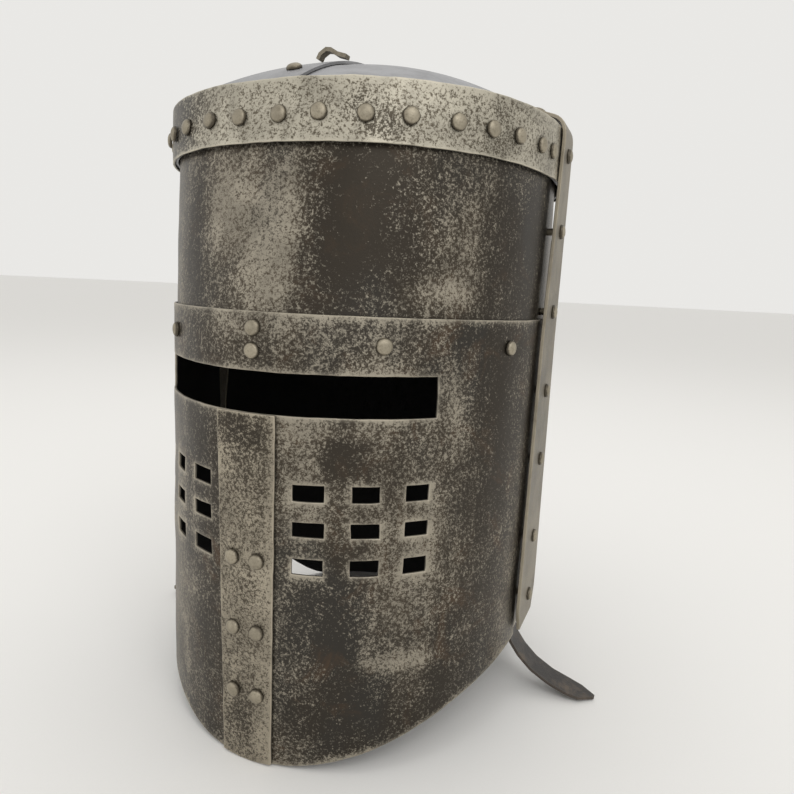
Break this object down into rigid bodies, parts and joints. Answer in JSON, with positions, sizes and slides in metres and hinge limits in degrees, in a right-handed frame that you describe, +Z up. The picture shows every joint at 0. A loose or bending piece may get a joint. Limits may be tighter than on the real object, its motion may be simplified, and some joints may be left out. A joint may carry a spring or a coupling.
{
  "type": "great helm",
  "caption": "Riveted steel great helm with a domed crown, sight slit, breaths, nasal strip, side strips, liner and a buckled chin strap.",
  "frame": {"origin": "middle of the helm's bounding box, on the surface it stands on", "axes": "front of the helm faces -Y, the wearer's left is +X, up is +Z"},
  "size_m": [0.3169, 0.2705, 0.3677],
  "materials": {
    "brow_rivet_left_1": "aged, brown-grey patina with bright worn edges",
    "brow_rivet_left_2": "aged, brown-grey patina with bright worn edges",
    "brow_rivet_middle_1": "aged, brown-grey patina with bright worn edges",
    "brow_rivet_middle_2": "aged, brown-grey patina with bright worn edges",
    "brow_rivet_right_1": "aged, brown-grey patina with bright worn edges",
    "brow_rivet_right_2": "aged, brown-grey patina with bright worn edges",
    "buckle_frame": "aged, brown-grey patina with bright worn edges",
    "buckle_prong": "aged, brown-grey patina with bright worn edges",
    "chin_strap_left": "worn, oiled",
    "chin_strap_right": "worn, oiled",
    "crown_end_rivet_left": "aged, brown-grey patina with bright worn edges",
    "crown_end_rivet_right": "aged, brown-grey patina with bright worn edges",
    "crown_left": "aged, brown-grey patina with bright worn edges",
    "crown_loop": "aged, brown-grey patina with bright worn edges",
    "crown_right": "aged, brown-grey patina with bright worn edges",
    "crown_rivet_1": "aged, brown-grey patina with bright worn edges",
    "crown_rivet_2": "aged, brown-grey patina with bright worn edges",
    "crown_rivet_3": "aged, brown-grey patina with bright worn edges",
    "face_plate": "aged, brown-grey patina with bright worn edges",
    "liner_band": "worn, oiled",
    "liner_cap": "coarse quilted cloth",
    "nasal_rivet_left_1": "aged, brown-grey patina with bright worn edges",
    "nasal_rivet_left_2": "aged, brown-grey patina with bright worn edges",
    "nasal_rivet_left_3": "aged, brown-grey patina with bright worn edges",
    "nasal_rivet_right_1": "aged, brown-grey patina with bright worn edges",
    "nasal_rivet_right_2": "aged, brown-grey patina with bright worn edges",
    "nasal_rivet_right_3": "aged, brown-grey patina with bright worn edges",
    "nasal_strip": "aged, brown-grey patina with bright worn edges",
    "neck_plate": "aged, brown-grey patina with bright worn edges",
    "neck_rivet_1": "aged, brown-grey patina with bright worn edges",
    "neck_rivet_2": "aged, brown-grey patina with bright worn edges",
    "neck_rivet_3": "aged, brown-grey patina with bright worn edges",
    "side_rivet_left_1": "aged, brown-grey patina with bright worn edges",
    "side_rivet_left_2": "aged, brown-grey patina with bright worn edges",
    "side_rivet_left_3": "aged, brown-grey patina with bright worn edges",
    "side_rivet_left_4": "aged, brown-grey patina with bright worn edges",
    "side_rivet_left_5": "aged, brown-grey patina with bright worn edges",
    "side_rivet_left_6": "aged, brown-grey patina with bright worn edges",
    "side_rivet_left_7": "aged, brown-grey patina with bright worn edges",
    "side_rivet_right_1": "aged, brown-grey patina with bright worn edges",
    "side_rivet_right_2": "aged, brown-grey patina with bright worn edges",
    "side_rivet_right_3": "aged, brown-grey patina with bright worn edges",
    "side_rivet_right_4": "aged, brown-grey patina with bright worn edges",
    "side_rivet_right_5": "aged, brown-grey patina with bright worn edges",
    "side_rivet_right_6": "aged, brown-grey patina with bright worn edges",
    "side_rivet_right_7": "aged, brown-grey patina with bright worn edges",
    "side_strip_left": "aged, brown-grey patina with bright worn edges",
    "side_strip_right": "aged, brown-grey patina with bright worn edges",
    "skull_back": "aged, brown-grey patina with bright worn edges",
    "skull_front": "aged, brown-grey patina with bright worn edges",
    "strap_hanger_left": "aged, brown-grey patina with bright worn edges",
    "strap_hanger_right": "aged, brown-grey patina with bright worn edges",
    "strap_keeper": "worn, oiled",
    "top_band_back": "aged, brown-grey patina with bright worn edges",
    "top_band_front": "aged, brown-grey patina with bright worn edges"
  },
  "bodies": {
    "helm": {"brow_rivet_left_1": "brow_rivet_left_1", "brow_rivet_left_2": "brow_rivet_left_2", "brow_rivet_middle_1": "brow_rivet_middle_1", "brow_rivet_middle_2": "brow_rivet_middle_2", "brow_rivet_right_1": "brow_rivet_right_1", "brow_rivet_right_2": "brow_rivet_right_2", "crown_end_rivet_left": "crown_end_rivet_left", "crown_end_rivet_right": "crown_end_rivet_right", "crown_left": "crown_left", "crown_loop": "crown_loop", "crown_right": "crown_right", "crown_rivet_1": "crown_rivet_1", "crown_rivet_2": "crown_rivet_2", "crown_rivet_3": "crown_rivet_3", "face_plate": "face_plate", "liner_band": "liner_band", "liner_cap": "liner_cap", "nasal_rivet_left_1": "nasal_rivet_left_1", "nasal_rivet_left_2": "nasal_rivet_left_2", "nasal_rivet_left_3": "nasal_rivet_left_3", "nasal_rivet_right_1": "nasal_rivet_right_1", "nasal_rivet_right_2": "nasal_rivet_right_2", "nasal_rivet_right_3": "nasal_rivet_right_3", "nasal_strip": "nasal_strip", "neck_plate": "neck_plate", "neck_rivet_1": "neck_rivet_1", "neck_rivet_2": "neck_rivet_2", "neck_rivet_3": "neck_rivet_3", "side_rivet_left_1": "side_rivet_left_1", "side_rivet_left_2": "side_rivet_left_2", "side_rivet_left_3": "side_rivet_left_3", "side_rivet_left_4": "side_rivet_left_4", "side_rivet_left_5": "side_rivet_left_5", "side_rivet_left_6": "side_rivet_left_6", "side_rivet_left_7": "side_rivet_left_7", "side_rivet_right_1": "side_rivet_right_1", "side_rivet_right_2": "side_rivet_right_2", "side_rivet_right_3": "side_rivet_right_3", "side_rivet_right_4": "side_rivet_right_4", "side_rivet_right_5": "side_rivet_right_5", "side_rivet_right_6": "side_rivet_right_6", "side_rivet_right_7": "side_rivet_right_7", "side_strip_left": "side_strip_left", "side_strip_right": "side_strip_right", "skull_back": "skull_back", "skull_front": "skull_front", "strap_hanger_left": "strap_hanger_left", "strap_hanger_right": "strap_hanger_right", "top_band_back": "top_band_back", "top_band_front": "top_band_front"},
    "strap_left": {"chin_strap_left": "chin_strap_left"},
    "strap_right": {"chin_strap_right": "chin_strap_right", "strap_keeper": "strap_keeper"},
    "buckle": {"buckle_frame": "buckle_frame"},
    "prong": {"buckle_prong": "buckle_prong"}
  },
  "joints": [
    {"name": "left_strap_swing", "type": "hinge", "parent": "helm", "child": "strap_left", "pos_m": [0.1002, 0.0051, 0.0453], "axis": [0, 1, 0], "range_deg": [-12, 60]},
    {"name": "right_strap_swing", "type": "hinge", "parent": "helm", "child": "strap_right", "pos_m": [-0.1002, 0.0051, 0.0453], "axis": [0, -1, 0], "range_deg": [-12, 60]},
    {"name": "buckle_swing", "type": "hinge", "parent": "strap_right", "child": "buckle", "pos_m": [-0.1344, 0.0051, 0.0049], "axis": [0, 1, 0], "range_deg": [-10, 40]},
    {"name": "prong_swing", "type": "hinge", "parent": "buckle", "child": "prong", "pos_m": [-0.1344, 0.0051, 0.0049], "axis": [0, 1, 0], "range_deg": [0, 50]}
  ]
}
